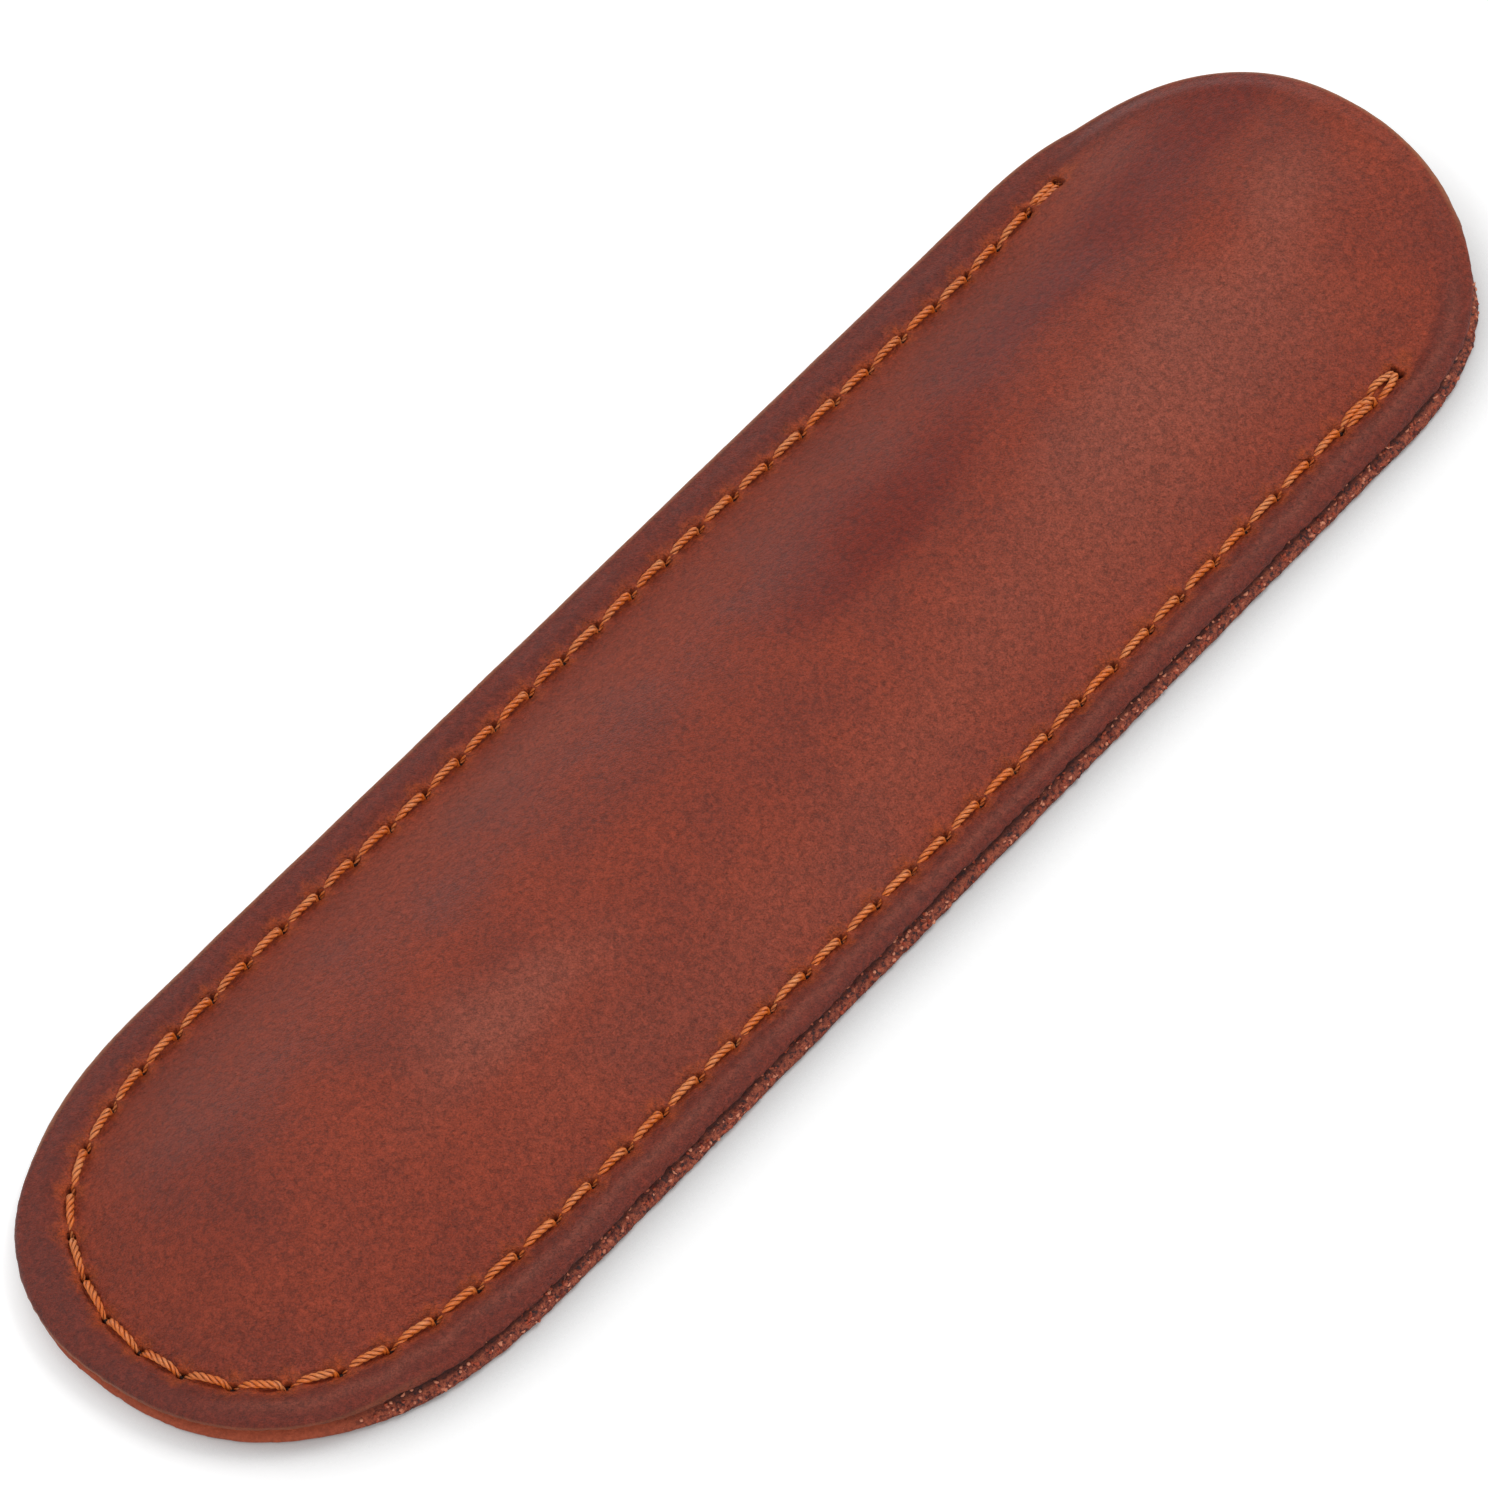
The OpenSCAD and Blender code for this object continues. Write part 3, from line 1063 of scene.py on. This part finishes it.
def grain_leather(name, groups, dye):
    """The dyed and waxed face of the hide. dye holds its colours by name."""
    material, tree, shader = new_material(name, 0.5)
    grain = use(tree, groups["grain"], Pebble=0.4)
    wrinkles = use(tree, groups["wrinkles"], Wrinkle=0.42, Turn=38.0)
    mottle = use(tree, groups["mottle"], Patch=9.0)
    pull = use(tree, groups["seam"], Reach=1.8)
    shade = mark(tree, "shade")
    base = painted(
        tree, colour(dye["deep"]),
        (mottle["Tone"], dye["middle"]),
        # Lighter and darker patches: partly the hide's own tone, partly painted sheen, painted shade and
        # painted shadow
        (step(tree, shade, 0.0, 1.0, 0.0, 0.6), dye["light"]),
        (step(tree, shade, -1.0, 0.0, 0.9, 0.0), dye["dark"]),
        (times(tree, pull["Rim"], 0.75), dye["rim"]),
        # A highlight painted along the rim on the -Y side
        (times(tree, mark(tree, "ridge"), 0.5), dye["ridge"]),
        (times(tree, pull["Haze"], 0.8), dye["haze"]),
    )
    # The wrinkles and the grain's tone colour crests lighter and creases darker: painted highlight and
    # painted shade
    textures = (
        (mottle["Speck"], 0.4), (mottle["Fleck"], 0.35), (wrinkles["Height"], 0.55), (grain["Tone"], 0.35),
    )
    base = shaded(tree, base, textures)
    # The crest's light line, partly wear and partly painted highlight
    wear_and_highlight = times(tree, mark(tree, "wear_and_highlight"), 0.7)
    # Painted shade inside the holes
    base = painted(tree, base, (wear_and_highlight, dye["wear_and_highlight"]), (mark(tree, "painted_hollow_shade"), dye["pit"]))
    gloss = step(tree, mottle["Tone"], 0.0, 1.0, 0.47, 0.57)
    normal = bump(tree, grain["Height"], 0.18)
    normal = bump(tree, wrinkles["Height"], 0.22, normal)
    normal = bump(tree, pull["Crease"], 0.12, normal)
    feed(tree, shader.inputs, Base_Color=base, Roughness=gloss, Normal=normal)
    shader.inputs["Specular IOR Level"].default_value = 0.27
    return material


def cut_leather(name, groups, pit, middle, light, polished):
    """The raw cut edge, its torn fibres with painted highlight and shade, and its burnished stretch."""
    material, tree, shader = new_material(name, 0.75)
    fibre = use(tree, groups["fibre"], Fibre=0.3)
    # Painted shade in the fibres' pits, and under the front panel on both cut edges
    painted_pit_shade = math_node(tree, "MAXIMUM", fibre["Pit"], mark(tree, "painted_hollow_shade"))
    burnish = times(tree, mark(tree, "wear_and_highlight"), 0.7)
    base = painted(tree, colour(middle), (fibre["Tone"], light), (painted_pit_shade, pit), (burnish, polished))
    feed(tree, shader.inputs, Base_Color=base, Normal=bump(tree, fibre["Height"], 0.25))
    return material


def crumb_leather(name, deep, middle, light):
    """Loose crumbs and fibres, each of its own shade."""
    material, tree, shader = new_material(name, 0.8)
    own = mark(tree, "tone")
    coats = (step(tree, own, 0.1, 0.4), middle), (step(tree, own, 0.5, 1.0), light)
    feed(tree, shader.inputs, Base_Color=painted(tree, colour(deep), *coats))
    return material


def flesh_leather(name, groups, middle, light):
    """The suede-like inner side, its raised fibres painted lighter as highlights."""
    material, tree, shader = new_material(name, 0.85)
    fibre = use(tree, groups["fibre"], Fibre=0.5)
    mottle = use(tree, groups["mottle"], Patch=5.0)
    patches = times(tree, mottle["Tone"], 0.3)
    base = painted(tree, colour(middle), (fibre["Tone"], light), (patches, middle))
    feed(tree, shader.inputs, Base_Color=base, Normal=bump(tree, fibre["Height"], 0.12))
    return material


def thread_material(name, deep, middle, light):
    """Waxed thread: fine filaments along each strand, painted highlight patches and painted shade between
    strands.
    """
    material, tree, shader = new_material(name, 0.34)
    lay = add(tree, "Attribute", attribute_name="lay").outputs["Vector"]
    filament = noise(tree, lay, 5.0, 2.0, 0.6)
    patch = noise(tree, object_place(tree, 2.0), 1.0)
    base = painted(
        tree, colour(middle),
        # Lighter patches painted as highlights
        (step(tree, patch, 0.4, 0.75, 0.0, 0.6), light),
        (step(tree, filament, 0.35, 0.6, 0.5, 0.0), deep),
        # Painted shade where the strand's surface turns in towards the others
        (step(tree, mark(tree, "facing"), -0.2, 0.5, 0.75, 0.0), deep),
    )
    feed(tree, shader.inputs, Base_Color=base, Normal=bump(tree, filament, 0.04))
    return material


# Floor, lamps and camera

# The camera: where it looks and its distance in millimetres, its turns in degrees, its lens and sensor
CAMERA_AIM = Vector((-1.744, -0.2255, 3.0))
CAMERA_DISTANCE = 747.63
CAMERA_ELEVATION = 50.866
CAMERA_AZIMUTH = 41.542
CAMERA_ROLL = 10.07
CAMERA_LENS = 230.516
SENSOR = 36.0

# Soft lamps: the way to each from the sleeve and its power. Distance and size are in metres
LAMP_DISTANCE = 1.0
LAMP_SIZE = 0.5
LAMPS = {
    "key": ((0.66, -0.1, 0.74), 4.9),
    "far_side": ((-0.3, 0.85, 0.42), 2.0),
    "near_side": ((-0.64, -0.64, 0.42), 4.7),
}

# The floor: its size in metres, how far it lies below the sleeve in millimetres, and its colour
FLOOR_SIZE = 4.0
FLOOR_DROP = 0.02
FLOOR_COLOUR = (0.55, 0.55, 0.55, 1)
# Its contact shadow: how far it reaches in millimetres, how deep it is, and where it looks for the sleeve.
# Even open floor hides some of that way from itself
CONTACT_REACH = 20.0
CONTACT_DEPTH = 1.7
CONTACT_LEAN = (0.1, 0.77, 0.63)
OPEN_FLOOR = (1 + CONTACT_LEAN[2]) / 2


def place_camera():
    """A long lens above the closed end and the -Y side, turned a little about its own axis."""
    elevation = math.radians(CAMERA_ELEVATION)
    azimuth = math.radians(CAMERA_AZIMUTH)
    level = Vector((math.sin(azimuth), math.cos(azimuth), 0))
    forward = level * math.cos(elevation) - Vector((0, 0, math.sin(elevation)))
    flat_right = forward.cross(Vector((0, 0, 1))).normalized()
    flat_down = forward.cross(flat_right)
    roll = math.radians(CAMERA_ROLL)
    right = flat_right * math.cos(roll) + flat_down * math.sin(roll)
    down = forward.cross(right)
    camera = placed("camera", bpy.data.cameras.new("camera"))
    turn = Matrix((right, -down, -forward)).transposed()
    camera.matrix_world = Matrix.Translation((CAMERA_AIM - forward * CAMERA_DISTANCE) * MM) @ turn.to_4x4()
    camera.data.lens = CAMERA_LENS
    camera.data.sensor_fit = "VERTICAL"
    camera.data.sensor_height = SENSOR
    camera.data.clip_start = 0.01
    bpy.context.scene.camera = camera


def place_lamp(name, toward, power):
    """A square soft lamp that looks at the sleeve from a direction."""
    lamp = placed(name, bpy.data.lights.new(name, "AREA"))
    place = Vector(toward).normalized() * LAMP_DISTANCE
    lamp.location = place
    lamp.rotation_euler = place.to_track_quat("Z", "Y").to_euler()
    lamp.data.size = LAMP_SIZE
    lamp.data.energy = power


def seen_directly(tree):
    """1 for what the camera sees by itself, in gloss or through glass, and 0 for light on other things."""
    path = add(tree, "LightPath").outputs
    gloss = math_node(tree, "MAXIMUM", path["Is Glossy Ray"], path["Is Transmission Ray"])
    return math_node(tree, "MAXIMUM", path["Is Camera Ray"], gloss)


def white_world(strength):
    """A white surround. It is seen at full white and lights the sleeve with this strength."""
    world = bpy.data.worlds.new("studio")
    bpy.context.scene.world = world
    world.use_nodes = True
    tree = world.node_tree
    light = seen_directly(tree)
    background = tree.nodes["Background"]
    background.inputs["Color"].default_value = (1, 1, 1, 1)
    level = step(tree, light, 0.0, 1.0, strength, 1.0)
    tree.links.new(level, background.inputs["Strength"])


def white_floor(glow):
    """A white sheet with the sleeve's shadow. Its glow is seen, lights nothing, and fades by the sleeve."""
    half = FLOOR_SIZE / 2
    z = -FLOOR_DROP * MM
    mesh = bpy.data.meshes.new("floor")
    corners = [(-half, -half, z), (half, -half, z), (half, half, z), (-half, half, z)]
    mesh.from_pydata(corners, [], [(0, 1, 2, 3)])
    floor = placed("floor", mesh)
    material = bpy.data.materials.new("white_sheet")
    material.use_nodes = True
    tree = material.node_tree
    tree.nodes.clear()
    paper = add(tree, "BsdfDiffuse", {"Color": FLOOR_COLOUR})
    lean = add(tree, "CombineXYZ", dict(zip("XYZ", CONTACT_LEAN))).outputs[0]
    values = {"Distance": CONTACT_REACH * MM, "Normal": lean}
    contact = add(tree, "AmbientOcclusion", values, samples=8).outputs["AO"]
    open_share = math_node(tree, "POWER", times(tree, contact, 1 / OPEN_FLOOR), CONTACT_DEPTH)
    seen = times(tree, seen_directly(tree), times(tree, open_share, glow))
    shine = add(tree, "Emission", {"Color": (1, 1, 1, 1), "Strength": seen})
    both = add(tree, "AddShader", {0: paper.outputs[0], 1: shine.outputs[0]})
    add(tree, "OutputMaterial", {"Surface": both.outputs[0]})
    mesh.materials.append(material)


# The dyed face of each panel: its darker patches, partly painted shade and shadow, the two tones of its dye,
# its lighter patches, partly painted sheen, the haze by the thread, the rim outside the seam, the highlight
# painted on that rim, the crest's wear and painted highlight, and the painted shade inside a hole
FRONT_DYE = {
    "dark": "#7c2310", "deep": "#8b3723", "middle": "#9e4129", "light": "#a85844",
    "haze": "#b64f1f", "rim": "#702b20", "ridge": "#9c5644", "wear_and_highlight": "#b5714c", "pit": "#1e0805",
}
BACK_DYE = {
    "dark": "#641e12", "deep": "#722b1c", "middle": "#84341f", "light": "#944634",
    "haze": "#a6491e", "rim": "#5e231b", "ridge": "#8c4c3c", "wear_and_highlight": "#a8694a", "pit": "#1e0805",
}


def main():
    groups = {
        "grain": grain_group(), "wrinkles": wrinkle_group(), "mottle": mottle_group(), "fibre": fibre_group(),
        "seam": seam_group(),
    }
    front_grain = grain_leather("front_grain", groups, FRONT_DYE)
    back_grain = grain_leather("back_grain", groups, BACK_DYE)
    # The front's cut edge is a darker copy of the back's: painted shade under its crest
    front_cut = cut_leather(
        "front_cut_edge", groups, pit="#2a0c08", middle="#56241a", light="#8a4a32", polished="#a84c2c",
    )
    back_cut = cut_leather(
        "back_cut_edge", groups, pit="#280a07", middle="#6e2719", light="#b85f40", polished="#b2502e",
    )
    crumbs = crumb_leather("cut_crumbs", deep="#5a1d12", middle="#a8482e", light="#de9070")
    flesh = flesh_leather("flesh_side", groups, middle="#7d4a35", light="#a8704f")
    orange = thread_material("orange_thread", deep="#7c2604", middle="#f27c2a", light="#ffb070")

    top_line = thread_line(top_stitches(), low_z=1.5, high_z=LAND_Z + 0.1, leans=True)
    under_line = thread_line(under_stitches(), low_z=1.1, high_z=0.35, leans=False)
    pieces = (
        (front_panel([front_grain, front_cut, flesh]), "front_leather", "front_panel"),
        (back_panel([back_grain, back_cut, flesh]), "back_leather", "back_panel"),
        (strands("top_strands", *top_line, orange), "thread", "top_thread"),
        (strands("under_strands", *under_line, orange), "thread", "under_thread"),
        (edge_bits(crumbs), "back_leather", None),
        (thread_tuft(orange), "thread", None),
    )
    for piece, slot, node in pieces:
        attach(piece, "root")
        if node:
            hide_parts(node)

    white_world(strength=0.26)
    white_floor(glow=0.54)
    for name, (toward, power) in LAMPS.items():
        place_lamp(name, toward, power)
    place_camera()
    bpy.context.scene.view_settings.view_transform = "Standard"


main()
